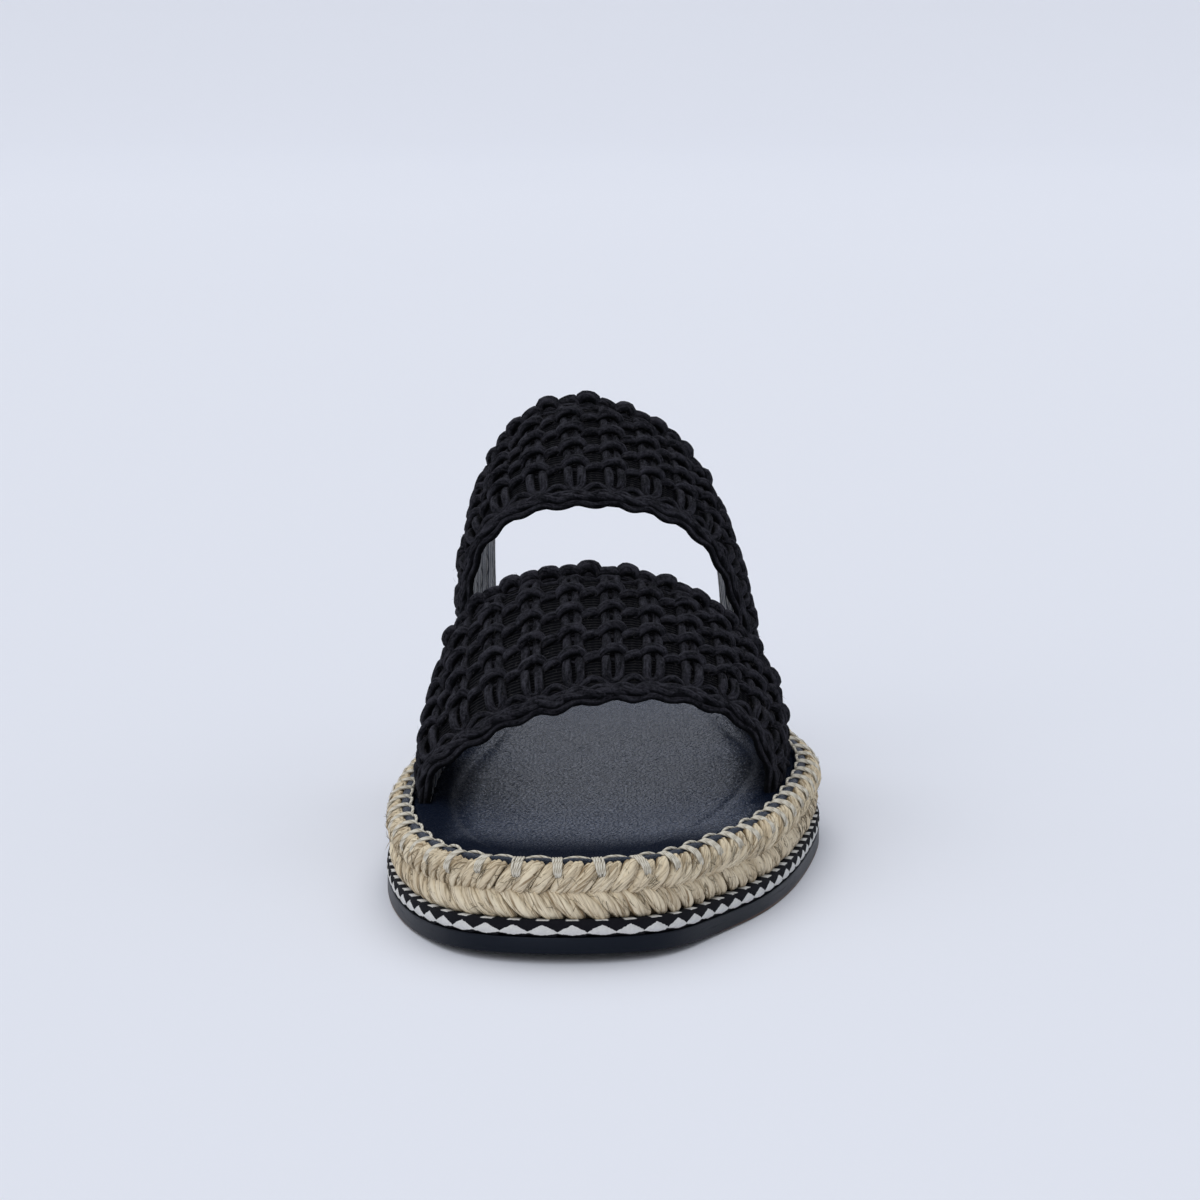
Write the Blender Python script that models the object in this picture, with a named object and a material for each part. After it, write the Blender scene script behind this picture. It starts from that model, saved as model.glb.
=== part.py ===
"""Espadrille slide sandal for the left foot: two woven cord straps on a braided jute platform.

Metres, +Z up. The toe points to -Y, the big toe's side is -X, and the floor is z = 0.
"""

import math

import bmesh
import bpy
import numpy as np

# Overall sizes of the sole
LENGTH = 0.256
BALL_WIDTH = 0.099
TOE_SPRING = 0.002
SPRING_REACH = 0.048
GAP = 0.0003

# Outsole: a thin rubber sheet with softened edges
OUTSOLE_THICKNESS = 0.0036
OUTSOLE_EDGE = 0.0005

# Welt trim: a narrow braid laid round the rim of the outsole
TRIM_HEIGHT = 0.0033
TRIM_WIDTH = 0.0029
TRIM_ROUND = 0.0005

# Jute midsole: a platform edged by two rows of braid, the lower one set back a little
LOWER_ROW_HEIGHT = 0.0054
UPPER_ROW_HEIGHT = 0.0054
LOWER_ROW_INSET = 0.0014
UPPER_ROW_INSET = 0.0007
ROW_GROOVE = 0.0012
BRAID_RIM_WIDTH = 0.0022
STRAND_PITCH = 0.0042
STRAND_RELIEF = 0.0004

# Footbed: a moulded insole that sits inside the binding
INSOLE_RIM_THICKNESS = 0.0054
INSOLE_DISH = 0.0019
INSOLE_EDGE = 0.0008
BINDING_WIDTH = 0.0024
BINDING_RISE = 0.0010
BINDING_ROUND = 0.0007

# Straps: one woven wall each, its ridges and bar pairs raised above the ground cloth
BAND_WIDTH = 0.050
WALL = 0.0024
SELVEDGE_WALL = 0.0017
BAR_RELIEF = 0.0010
RIDGE_RELIEF = 0.0017
RIDGE_DIP = 0.0009
RIDGE_HALF_WIDTH = 0.0017
COLUMN_PITCH = 0.0087
BAR_PAIR_WIDTH = 0.0056
ROW_PITCH = 0.0086
FIRST_RIDGE = 0.0141
RIDGES = 4
SELVEDGE = 0.0050
BAND_CROWN = 0.0012
STRAP_SEAT_SPACE = 0.0020
SLOT_CLEARANCE = 0.0005
RELIEF_START = 0.0030

# Vertices round the sole for a plain piece
ROUND_STEPS = 88

# Outline of the sole. Station is a share of LENGTH from the toe, and medial and lateral
# are shares of BALL_WIDTH from the centre line.
TOE_TIP = -0.111
HEEL_TIP = 0.005
OUTLINE = (
    # station, medial, lateral
    (0.025, -0.303, 0.116),
    (0.079, -0.399, 0.212),
    (0.156, -0.463, 0.321),
    (0.252, -0.498, 0.410),
    (0.357, -0.498, 0.468),
    (0.463, -0.471, 0.497),
    (0.520, -0.447, 0.487),
    (0.580, -0.424, 0.460),
    (0.640, -0.402, 0.432),
    (0.695, -0.384, 0.408),
    (0.800, -0.362, 0.375),
    (0.883, -0.345, 0.352),
    (0.949, -0.268, 0.282),
)

# Arches of the two edges of each strap. Side runs from -1 at the medial foot of the edge to 1 at
# the lateral foot, and height is a share of that edge's rise above the platform.
FRONT_STRAP = {
    "name": "front_strap",
    # Feet and middle of each edge, as shares of LENGTH from the toe: medial, middle, lateral
    "front_stations": (0.264, 0.276, 0.315),
    "back_stations": (0.459, 0.451, 0.498),
    "front_rise": 0.0276,
    "back_rise": 0.0484,
    "front_zero": 0.095,
    "back_zero": -0.045,
    "front_arch": (
        # side, height
        (-1.000, 0.00),
        (-1.020, 0.20),
        (-1.010, 0.37),
        (-0.885, 0.54),
        (-0.600, 0.77),
        (-0.171, 0.95),
        (0.227, 1.00),
        (0.605, 0.92),
        (0.875, 0.73),
        (1.000, 0.48),
        (1.035, 0.23),
        (1.000, 0.00),
    ),
    "back_arch": (
        (-1.000, 0.00),
        (-1.000, 0.20),
        (-0.990, 0.40),
        (-0.955, 0.63),
        (-0.809, 0.835),
        (-0.531, 0.957),
        (-0.133, 1.00),
        (0.194, 0.955),
        (0.490, 0.848),
        (0.735, 0.675),
        (0.897, 0.480),
        (0.976, 0.281),
        (1.000, 0.00),
    ),
}
REAR_STRAP = {
    "name": "rear_strap",
    "front_stations": (0.523, 0.525, 0.563),
    "back_stations": (0.715, 0.705, 0.742),
    "front_rise": 0.0624,
    "back_rise": 0.0806,
    "front_zero": 0.0,
    "back_zero": -0.07,
    "front_arch": (
        (-1.000, 0.00),
        (-0.995, 0.11),
        (-1.000, 0.26),
        (-0.987, 0.50),
        (-0.960, 0.70),
        (-0.900, 0.82),
        (-0.775, 0.91),
        (-0.585, 0.97),
        (-0.254, 1.00),
        (0.055, 0.99),
        (0.305, 0.953),
        (0.488, 0.897),
        (0.662, 0.797),
        (0.782, 0.655),
        (0.870, 0.486),
        (0.945, 0.277),
        (1.000, 0.00),
    ),
    "back_arch": (
        (-1.000, 0.00),
        (-0.995, 0.09),
        (-1.020, 0.27),
        (-1.050, 0.525),
        (-1.042, 0.68),
        (-1.003, 0.781),
        (-0.915, 0.851),
        (-0.765, 0.927),
        (-0.520, 0.985),
        (-0.231, 1.00),
        (0.070, 0.967),
        (0.378, 0.912),
        (0.605, 0.825),
        (0.785, 0.717),
        (0.905, 0.589),
        (0.987, 0.398),
        (1.003, 0.207),
        (1.000, 0.09),
        (1.000, 0.00),
    ),
}

# Heights of the stack, each from the piece below it
TRIM_BOTTOM = OUTSOLE_THICKNESS + GAP
TRIM_TOP = TRIM_BOTTOM + TRIM_HEIGHT
LOWER_ROW_BOTTOM = TRIM_TOP + GAP
GROOVE_HEIGHT = LOWER_ROW_BOTTOM + LOWER_ROW_HEIGHT
BRAID_TOP = GROOVE_HEIGHT + UPPER_ROW_HEIGHT
INSOLE_RIM = BRAID_TOP + 3 * GAP
INSOLE_BOTTOM = INSOLE_RIM - INSOLE_RIM_THICKNESS
DECK = INSOLE_BOTTOM - GAP
BINDING_TOP = INSOLE_RIM + BINDING_RISE

# Insets from the outline, each from the piece outside it
BRAID_RIM_INNER = UPPER_ROW_INSET + BRAID_RIM_WIDTH
BINDING_OUTER = BRAID_RIM_INNER + GAP
BINDING_INNER = BINDING_OUTER + BINDING_WIDTH
INSOLE_INSET = BINDING_INNER + GAP
STRAP_SEAT = BINDING_INNER + STRAP_SEAT_SPACE + WALL


def solve_spline(knots, values, periodic):
    """Second derivatives of the cubic spline through the values."""
    count = len(values)
    spans = np.diff(knots)
    matrix = np.zeros((count, count))
    right = np.zeros((count, values.shape[1]))
    if periodic:
        last = spans[-1]
        spans = np.append(spans[:-1], last)
        for i in range(count):
            before, after = spans[i - 1], spans[i]
            following = values[(i + 1) % count]
            matrix[i, i - 1] += before
            matrix[i, i] += 2 * (before + after)
            matrix[i, (i + 1) % count] += after
            right[i] = 6 * ((following - values[i]) / after - (values[i] - values[i - 1]) / before)
    else:
        matrix[0, 0] = matrix[-1, -1] = 1
        for i in range(1, count - 1):
            before, after = spans[i - 1], spans[i]
            matrix[i, i - 1 : i + 2] = before, 2 * (before + after), after
            slope = (values[i + 1] - values[i]) / after
            right[i] = 6 * (slope - (values[i] - values[i - 1]) / before)
    return np.linalg.solve(matrix, right)


def spline(points, count, periodic=False):
    """Evenly spread samples of a smooth curve through the points."""
    points = np.asarray(points, float)
    ends = np.vstack([points, points[:1]]) if periodic else points
    knots = np.append(0, np.cumsum(np.linalg.norm(np.diff(ends, axis=0), axis=1)))
    bends = solve_spline(knots, points, periodic)
    if periodic:
        bends = np.vstack([bends, bends[:1]])
    at = np.linspace(0, knots[-1], 4000)
    low = np.clip(np.searchsorted(knots, at, side="right") - 1, 0, len(knots) - 2)
    span = (knots[low + 1] - knots[low])[:, None]
    right = (at[:, None] - knots[low][:, None]) / span
    left = 1 - right
    curve = left * ends[low] + right * ends[low + 1]
    curve += ((left**3 - left) * bends[low] + (right**3 - right) * bends[low + 1]) * span**2 / 6
    length = np.append(0, np.cumsum(np.linalg.norm(np.diff(curve, axis=0), axis=1)))
    even = np.linspace(0, length[-1], count + 1 if periodic else count)
    even = even[:count]
    return np.stack([np.interp(even, length, curve[:, k]) for k in range(curve.shape[1])], axis=1)


def sole_outline(count=1440):
    """The sole's outline, counter-clockwise from the toe, centred, and its inward normals."""
    lateral = [(side, station) for station, _, side in OUTLINE]
    medial = [(side, station) for station, side, _ in OUTLINE]
    corners = [(TOE_TIP, 0.0), *lateral, (HEEL_TIP, 1.0), *reversed(medial)]
    points = np.array(corners) * (BALL_WIDTH, LENGTH)
    curve = spline(points, count, periodic=True)
    low, high = curve.min(axis=0), curve.max(axis=0)
    curve = (curve - (low + high) / 2) * (BALL_WIDTH, LENGTH) / (high - low)
    along = np.roll(curve, -1, axis=0) - np.roll(curve, 1, axis=0)
    along /= np.linalg.norm(along, axis=1)[:, None]
    return curve, np.stack([-along[:, 1], along[:, 0]], axis=1)


OUTLINE_CURVE, OUTLINE_INWARD = sole_outline()
PERIMETER = np.linalg.norm(np.diff(OUTLINE_CURVE, axis=0, append=OUTLINE_CURVE[:1]), axis=1).sum()


def lift(y):
    """How far the toe spring raises the sole at a distance along it."""
    share = np.clip(1 - (y + LENGTH / 2) / SPRING_REACH, 0, None)
    return TOE_SPRING * share**2


def ring(inset, height, count, shift=0.0):
    """A loop of points at an inset from the outline and a height above the sole's underside."""
    at = (np.arange(count) + shift) / count * len(OUTLINE_CURVE)
    index = np.arange(len(OUTLINE_CURVE) + 1)
    inset = np.broadcast_to(inset, count)

    def read(values, k):
        return np.interp(at % len(values), index, np.append(values[:, k], values[0, k]))

    x = read(OUTLINE_CURVE, 0) + read(OUTLINE_INWARD, 0) * inset
    y = read(OUTLINE_CURVE, 1) + read(OUTLINE_INWARD, 1) * inset
    return np.stack([x, y, height + lift(y)], axis=1)


def side_at(y, side, inset):
    """Where the outline, moved in by an inset, crosses a distance along the sole on one side."""
    curve = OUTLINE_CURVE + OUTLINE_INWARD * inset
    near = curve[np.sign(curve[:, 0]) == side]
    near = near[np.argsort(near[:, 1])]
    return np.interp(y, near[:, 1], near[:, 0])


def loft(mesh, loops, closed=False):
    """Skins a row of loops. A loop may hold twice or half as many points as its neighbour."""
    rows = [[mesh.verts.new(point) for point in loop] for loop in loops]
    pairs = list(zip(rows, rows[1:]))
    if closed:
        pairs.append((rows[-1], rows[0]))
    for lower, upper in pairs:
        n, m = len(lower), len(upper)
        if n == m:
            for i in range(n):
                j = (i + 1) % n
                mesh.faces.new((lower[i], lower[j], upper[j], upper[i]))
        elif m == 2 * n:
            for i in range(n):
                j = (i + 1) % n
                a, b, c = upper[2 * i], upper[2 * i + 1], upper[(2 * i + 2) % m]
                mesh.faces.new((lower[i], b, a))
                mesh.faces.new((lower[i], lower[j], b))
                mesh.faces.new((lower[j], c, b))
        else:
            for i in range(m):
                j = (i + 1) % m
                a, b, c = lower[2 * i], lower[2 * i + 1], lower[(2 * i + 2) % n]
                mesh.faces.new((a, b, upper[i]))
                mesh.faces.new((b, upper[j], upper[i]))
                mesh.faces.new((b, c, upper[j]))
    if not closed:
        close_end(mesh, rows[0])
        close_end(mesh, rows[-1])


def close_end(mesh, row):
    """Closes a loop with strips that run straight across it, so that a flat stretch stays flat."""
    count = len(row)
    mesh.faces.new((row[0], row[1], row[-1]))
    for i in range(1, (count - 1) // 2):
        mesh.faces.new((row[i], row[i + 1], row[count - i - 1], row[count - i]))
    if count % 2 == 0:
        middle = count // 2
        mesh.faces.new((row[middle - 1], row[middle], row[middle + 1]))


def add_object(name, mesh, collection, material=None):
    """Turns a bmesh into an object, its faces pointing out and shaded smooth."""
    bmesh.ops.recalc_face_normals(mesh, faces=mesh.faces)
    data = bpy.data.meshes.new(name)
    mesh.to_mesh(data)
    mesh.free()
    data.shade_smooth()
    data.set_sharp_from_angle(angle=math.radians(40))
    made = bpy.data.objects.new(name, data)
    collection.objects.link(made)
    if material:
        data.materials.append(material)
    return made


def paint(name, colour, roughness):
    """A plain material of one colour."""
    made = bpy.data.materials.new(name)
    made.use_nodes = True
    shader = made.node_tree.nodes["Principled BSDF"]
    shader.inputs["Base Color"].default_value = (*colour, 1)
    shader.inputs["Roughness"].default_value = roughness
    shader.inputs["Metallic"].default_value = 0.0
    return made


def build_ring_piece(name, section, steps, material, cap):
    """A piece swept round the sole from (inset, height) rows, solid or as an open ring."""
    mesh = bmesh.new()
    loops = [ring(inset, height, steps) for inset, height in section]
    loft(mesh, loops, closed=not cap)
    return add_object(name, mesh, PART, material)


def build_outsole():
    section = (
        (OUTSOLE_EDGE, 0.0),
        (0.0, OUTSOLE_EDGE),
        (0.0, OUTSOLE_THICKNESS - OUTSOLE_EDGE / 2),
        (OUTSOLE_EDGE / 2, OUTSOLE_THICKNESS),
    )
    material = paint("black_rubber", (0.012, 0.013, 0.018), 0.45)
    return build_ring_piece("outsole", section, ROUND_STEPS, material, cap=True)


def build_trim():
    middle = (TRIM_BOTTOM + TRIM_TOP) / 2
    section = (
        (TRIM_ROUND, TRIM_BOTTOM),
        (0.0, middle),
        (TRIM_ROUND, TRIM_TOP),
        (TRIM_WIDTH, TRIM_TOP),
        (TRIM_WIDTH, TRIM_BOTTOM),
    )
    material = paint("black_and_white_braid", (0.35, 0.35, 0.36), 0.8)
    return build_ring_piece("welt_trim", section, ROUND_STEPS, material, cap=False)


def build_midsole():
    """The jute platform: each row's strands lean to the groove, as in a plait."""
    strands = round(PERIMETER / STRAND_PITCH)
    columns = 2 * strands
    swell = np.where(np.arange(columns) % 2, STRAND_RELIEF, -STRAND_RELIEF)
    behind_trim = TRIM_WIDTH + GAP
    groove = max(LOWER_ROW_INSET, UPPER_ROW_INSET) + ROW_GROOVE
    lower_middle = (LOWER_ROW_BOTTOM + GROOVE_HEIGHT) / 2
    upper_middle = (GROOVE_HEIGHT + BRAID_TOP) / 2
    shoulder = GROOVE_HEIGHT + 0.86 * UPPER_ROW_HEIGHT
    rounded = UPPER_ROW_INSET + 0.4 * BRAID_RIM_WIDTH
    crest = UPPER_ROW_INSET + 0.9 * BRAID_RIM_WIDTH
    mesh = bmesh.new()
    loops = [
        ring(behind_trim + GAP, TRIM_BOTTOM, strands),
        ring(behind_trim, LOWER_ROW_BOTTOM, columns, 1),
        ring(LOWER_ROW_INSET + swell, lower_middle, columns, 0),
        ring(groove + swell / 3, GROOVE_HEIGHT, columns, -1),
        ring(UPPER_ROW_INSET + swell, upper_middle, columns, 0),
        ring(rounded + swell, shoulder, columns, 1),
        ring(crest, BRAID_TOP, strands, 0.5),
        ring(BRAID_RIM_INNER, DECK, strands, 0.5),
    ]
    loft(mesh, loops)
    material = paint("jute", (0.56, 0.45, 0.30), 0.9)
    return add_object("jute_midsole", mesh, PART, material)


def build_binding():
    low = BINDING_TOP - BINDING_ROUND
    section = (
        (BINDING_OUTER, INSOLE_BOTTOM),
        (BINDING_OUTER, low),
        ((BINDING_OUTER + BINDING_INNER) / 2, BINDING_TOP),
        (BINDING_INNER, low),
        (BINDING_INNER, INSOLE_BOTTOM),
    )
    material = paint("black_binding_leather", (0.014, 0.015, 0.020), 0.4)
    return build_ring_piece("insole_binding", section, ROUND_STEPS, material, cap=False)


def build_insole(slots):
    section = (
        (INSOLE_INSET, INSOLE_BOTTOM),
        (INSOLE_INSET, INSOLE_RIM - INSOLE_EDGE),
        (INSOLE_INSET + INSOLE_EDGE, INSOLE_RIM),
        (INSOLE_INSET + 0.0070, INSOLE_RIM - 0.12 * INSOLE_DISH),
        (INSOLE_INSET + 0.0125, INSOLE_RIM - 0.72 * INSOLE_DISH),
        (INSOLE_INSET + 0.0195, INSOLE_RIM - INSOLE_DISH),
    )
    material = paint("black_insole_leather", (0.010, 0.012, 0.019), 0.38)
    made = build_ring_piece("insole", section, ROUND_STEPS, material, cap=True)
    for slot in slots:
        cut = made.modifiers.new("strap_slot", "BOOLEAN")
        cut.operation = "DIFFERENCE"
        cut.solver = "EXACT"
        cut.object = slot
    return made


def across_lines():
    """Rows of the weave across the band: distance from the front edge, and what lies there."""
    lines = [(0.0, "selvedge"), (SELVEDGE - 0.0003, "selvedge"), (SELVEDGE + 0.0004, "bars")]
    for number in range(RIDGES):
        middle = FIRST_RIDGE + number * ROW_PITCH
        lines.append((middle - RIDGE_HALF_WIDTH, "bars"))
        lines.append((middle, "ridge"))
        lines.append((middle + RIDGE_HALF_WIDTH, "bars"))
    lines.append((BAND_WIDTH - 0.0022, "loops"))
    lines.append((BAND_WIDTH, "selvedge"))
    return lines


class Band:
    """The inner face of a strap, as a function of distance along the band and share across it."""

    def __init__(self, strap):
        self.edges = []
        for edge in ("front", "back"):
            stations = np.array(strap[edge + "_stations"]) * LENGTH - LENGTH / 2
            medial = side_at(stations[0], -1, STRAP_SEAT)
            lateral = side_at(stations[2], 1, STRAP_SEAT)
            arch = np.array(strap[edge + "_arch"])
            x = (medial + lateral) / 2 + (lateral - medial) / 2 * arch[:, 0]
            z = DECK + GAP + strap[edge + "_rise"] * arch[:, 1]
            tilt, bow = (stations[2] - stations[0]) / 2, (stations[0] + stations[2]) / 2 - stations[1]
            y = stations[1] + tilt * arch[:, 0] + bow * arch[:, 0] ** 2
            curve = spline(np.stack([x, y, z], axis=1), 400)
            length = np.append(0, np.cumsum(np.linalg.norm(np.diff(curve, axis=0), axis=1)))
            zero = (medial + lateral) / 2 + (lateral - medial) / 2 * strap[edge + "_zero"]
            high = curve[:, 2] > DECK + 0.7 * strap[edge + "_rise"]
            zero_at = np.interp(zero, curve[high, 0], length[high])
            self.edges.append((curve, length - zero_at))
        self.start = min(length[0] for _, length in self.edges)
        self.end = max(length[-1] for _, length in self.edges)

    def edge_point(self, edge, along):
        """A point of one edge. Past its feet the edge runs straight down."""
        curve, length = self.edges[edge]
        point = np.stack([np.interp(along, length, curve[:, k]) for k in range(3)], axis=-1)
        past = np.clip(length[0] - along, 0, None) + np.clip(along - length[-1], 0, None)
        point[..., 2] -= past
        return point

    def inner(self, along, share):
        share = np.asarray(share)[..., None]
        return (1 - share) * self.edge_point(0, along) + share * self.edge_point(1, along)

    def point(self, along, share, out):
        """A point at a height above the inner face, which is crowned a little across the band."""
        step, tick = 0.0012, 0.02
        share = np.asarray(share, float)
        run = self.inner(along + step, share) - self.inner(along - step, share)
        rise = self.inner(along, share + tick) - self.inner(along, share - tick)
        normal = np.cross(run, rise)
        normal /= np.linalg.norm(normal, axis=-1)[..., None]
        crown = BAND_CROWN * 4 * share * (1 - share)
        return self.inner(along, share) + normal * (crown + out)[..., None]

    def foot(self, side, shares, height, out):
        """Where the wall's inner face, or one parallel to it, passes a height near one foot."""
        along = np.linspace(self.start - WALL, 0, 400) if side < 0 else np.linspace(self.end + WALL, 0, 400)
        points = []
        for share in shares:
            wall = self.point(along, np.full(len(along), share), np.full(len(along), out))
            low = wall[:, 2] < DECK + 0.012
            points.append([np.interp(height, wall[low, 2], wall[low, k]) for k in range(2)])
        return np.array(points)


def build_strap(strap, material, cutter):
    """One woven wall: a plain inner face, and an outer face with ridges and bar pairs raised."""
    band = Band(strap)
    first = math.floor(band.start / COLUMN_PITCH) - 1
    last = math.ceil(band.end / COLUMN_PITCH) + 1
    half_pair = BAR_PAIR_WIDTH / 2
    along, on_bar = [], []
    for number in range(first, last + 1):
        centre = number * COLUMN_PITCH
        along += [centre - COLUMN_PITCH / 2, centre - half_pair, centre + half_pair]
        on_bar += [0.0, 1.0, 1.0]
    along, on_bar = np.array(along), np.array(on_bar)
    outer = []
    for distance, kind in across_lines():
        share = np.full(len(along), distance / BAND_WIDTH)
        bars = BAR_RELIEF * on_bar
        thick = {
            "selvedge": np.full(len(along), SELVEDGE_WALL),
            "bars": WALL + bars,
            "ridge": WALL + RIDGE_DIP + (RIDGE_RELIEF - RIDGE_DIP) * on_bar,
            "loops": WALL + BAR_RELIEF * (1 - on_bar),
        }[kind]
        height = band.inner(along, share)[..., 2]
        fade = np.clip((height - BINDING_TOP) / RELIEF_START, 0, 1)
        thick = np.minimum(thick, WALL) + (thick - np.minimum(thick, WALL)) * fade
        outer.append(band.point(along, share, thick))
    inner = []
    for share in (1.0, 0.67, 0.33, 0.0):
        share = np.full(len(along), share)
        inner.append(band.point(along, share, np.zeros(len(along))))
    rows = np.array(outer + inner)
    mesh = bmesh.new()
    loft(mesh, [rows[:, i] for i in range(len(along))])
    made = add_object(strap["name"], mesh, PART, material)
    cut = made.modifiers.new("tucked_end", "BOOLEAN")
    cut.operation = "DIFFERENCE"
    cut.solver = "EXACT"
    cut.object = cutter
    return made


def build_floor_cutter():
    """Takes off what a strap's ends would reach below their seat on the platform."""
    mesh = bmesh.new()
    bmesh.ops.create_cube(mesh, size=1.0)
    tall = 0.2
    for vert in mesh.verts:
        vert.co.x *= 2 * BALL_WIDTH
        vert.co.y *= 2 * LENGTH
        vert.co.z = INSOLE_BOTTOM + (vert.co.z - 0.5) * tall
    return add_helper("strap_end_cutter", mesh)


def build_slot(strap, side):
    """The cut in the insole's edge where one end of a strap goes down beside it."""
    band = Band(strap)
    shares = np.linspace(0, 1, 9)
    heights = (INSOLE_BOTTOM, (INSOLE_BOTTOM + INSOLE_RIM) / 2, INSOLE_RIM)
    faces = [band.foot(side, shares, height, out) for height in heights for out in (0.0, WALL)]
    front = min(face[0, 1] for face in faces) - SLOT_CLEARANCE
    back = max(face[-1, 1] for face in faces) + SLOT_CLEARANCE
    stations = np.linspace(front, back, 9)
    reach = [abs(np.interp(stations, face[:, 1], face[:, 0])) for face in faces]
    inner = side * (np.min(reach, axis=0) - SLOT_CLEARANCE)
    outer = [(side_at(y, side, INSOLE_INSET - 2 * GAP), y) for y in stations]
    inner = list(zip(inner, stations))[::-1]
    low, high = INSOLE_BOTTOM - GAP, INSOLE_RIM + GAP
    mesh = bmesh.new()
    loft(mesh, [[(x, y, z) for x, y in outer + inner] for z in (low, high)])
    return add_helper(f"{strap['name']}_slot_{'medial' if side < 0 else 'lateral'}", mesh)


def add_helper(name, mesh):
    made = add_object(name, mesh, CUTTERS)
    made.hide_render = True
    made.display_type = "WIRE"
    return made


def main():
    floor_cutter = build_floor_cutter()
    slots = [build_slot(strap, side) for strap in (FRONT_STRAP, REAR_STRAP) for side in (-1, 1)]
    build_outsole()
    build_trim()
    build_midsole()
    build_binding()
    build_insole(slots)
    cord = paint("black_cotton_cord", (0.016, 0.016, 0.018), 0.85)
    for strap in (FRONT_STRAP, REAR_STRAP):
        build_strap(strap, cord, floor_cutter)


for old in list(bpy.data.objects):
    bpy.data.objects.remove(old)
PART = bpy.data.collections.new("espadrille_sandal")
CUTTERS = bpy.data.collections.new("cutters")
bpy.context.scene.collection.children.link(PART)
bpy.context.scene.collection.children.link(CUTTERS)
main()
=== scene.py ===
"""Espadrille slide sandal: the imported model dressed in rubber, braid, jute, leather and cotton cord."""

import math

import bmesh
import bpy
import numpy as np
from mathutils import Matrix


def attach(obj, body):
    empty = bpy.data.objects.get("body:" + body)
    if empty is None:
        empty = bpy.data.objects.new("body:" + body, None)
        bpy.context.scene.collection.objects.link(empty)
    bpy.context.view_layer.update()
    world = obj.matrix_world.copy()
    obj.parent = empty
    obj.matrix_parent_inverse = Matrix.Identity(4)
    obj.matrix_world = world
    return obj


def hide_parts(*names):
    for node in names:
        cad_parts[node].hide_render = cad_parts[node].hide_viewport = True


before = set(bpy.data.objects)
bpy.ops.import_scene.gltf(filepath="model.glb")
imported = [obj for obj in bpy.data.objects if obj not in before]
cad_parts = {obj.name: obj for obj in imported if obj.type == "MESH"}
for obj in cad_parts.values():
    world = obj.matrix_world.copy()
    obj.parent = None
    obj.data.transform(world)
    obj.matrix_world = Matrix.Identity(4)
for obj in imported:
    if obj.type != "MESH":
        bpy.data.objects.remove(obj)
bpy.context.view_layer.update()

# Outsole ---------------------------------------------------------------------------------------
# A thin sheet of black rubber, die-cut to the sole's outline, its edges eased by buffing. It is
# glued under the platform, turns up slightly at the toe and has fine ribs moulded underneath.

LENGTH, BALL_WIDTH = 0.256, 0.099
TOE_SPRING, SPRING_REACH = 0.002, 0.048
OUTSOLE_THICKNESS, OUTSOLE_ROUND, OUTSOLE_RIM = 0.0036, 0.0003, 0.0060
CUT_END, CUT_STEP = -0.079, 0.003

# Outline: station from the toe as a share of LENGTH, medial and lateral as shares of BALL_WIDTH
TOE_TIP, HEEL_TIP = -0.111, 0.005
OUTLINE = (
    (0.025, -0.303, 0.116),
    (0.079, -0.399, 0.212),
    (0.156, -0.463, 0.321),
    (0.252, -0.498, 0.410),
    (0.357, -0.498, 0.468),
    (0.463, -0.471, 0.497),
    (0.520, -0.447, 0.487),
    (0.580, -0.424, 0.460),
    (0.640, -0.402, 0.432),
    (0.695, -0.384, 0.408),
    (0.800, -0.362, 0.375),
    (0.883, -0.345, 0.352),
    (0.949, -0.268, 0.282),
)


def spline(points, count, periodic=False):
    """Evenly spread samples of the natural, or closed, cubic spline through the points."""
    points = np.asarray(points, float)
    total = len(points)
    ends = np.vstack([points, points[:1]]) if periodic else points
    knots = np.append(0, np.cumsum(np.linalg.norm(np.diff(ends, axis=0), axis=1)))
    spans = np.diff(knots)
    matrix, right = np.eye(total), np.zeros(points.shape)
    for i in range(0 if periodic else 1, total if periodic else total - 1):
        before, after = spans[i - 1], spans[i]
        matrix[i] = 0
        matrix[i, i - 1] += before
        matrix[i, i] += 2 * (before + after)
        matrix[i, (i + 1) % total] += after
        steps = (ends[i + 1] - points[i]) / after - (points[i] - points[i - 1]) / before
        right[i] = 6 * steps
    bends = np.linalg.solve(matrix, right)
    if periodic:
        bends = np.vstack([bends, bends[:1]])
    at = np.linspace(0, knots[-1], max(4000, 4 * count))
    low = np.clip(np.searchsorted(knots, at, side="right") - 1, 0, len(knots) - 2)
    span = spans[low][:, None]
    upper = (at - knots[low])[:, None] / span
    lower = 1 - upper
    curve = lower * ends[low] + upper * ends[low + 1]
    curve += ((lower**3 - lower) * bends[low] + (upper**3 - upper) * bends[low + 1]) * span**2 / 6
    length = np.append(0, np.cumsum(np.linalg.norm(np.diff(curve, axis=0), axis=1)))
    even = np.linspace(0, length[-1], count + periodic)[:count]
    return np.stack([np.interp(even, length, column) for column in curve.T], axis=1)


def sole_outline():
    """The outline, counter-clockwise from the toe, and its inward normals."""
    lateral = [(side, station) for station, _, side in OUTLINE]
    medial = [(side, station) for station, side, _ in OUTLINE]
    corners = [(TOE_TIP, 0.0), *lateral, (HEEL_TIP, 1.0), *reversed(medial)]
    curve = spline(np.array(corners) * (BALL_WIDTH, LENGTH), 1440, periodic=True)
    low, high = curve.min(axis=0), curve.max(axis=0)
    curve = (curve - (low + high) / 2) * (BALL_WIDTH, LENGTH) / (high - low)
    along = np.roll(curve, -1, axis=0) - np.roll(curve, 1, axis=0)
    along /= np.linalg.norm(along, axis=1)[:, None]
    return curve, np.stack([-along[:, 1], along[:, 0]], axis=1)


outline_curve, outline_inward = sole_outline()
perimeter = np.linalg.norm(np.diff(outline_curve, axis=0, append=outline_curve[:1]), axis=1).sum()


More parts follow.
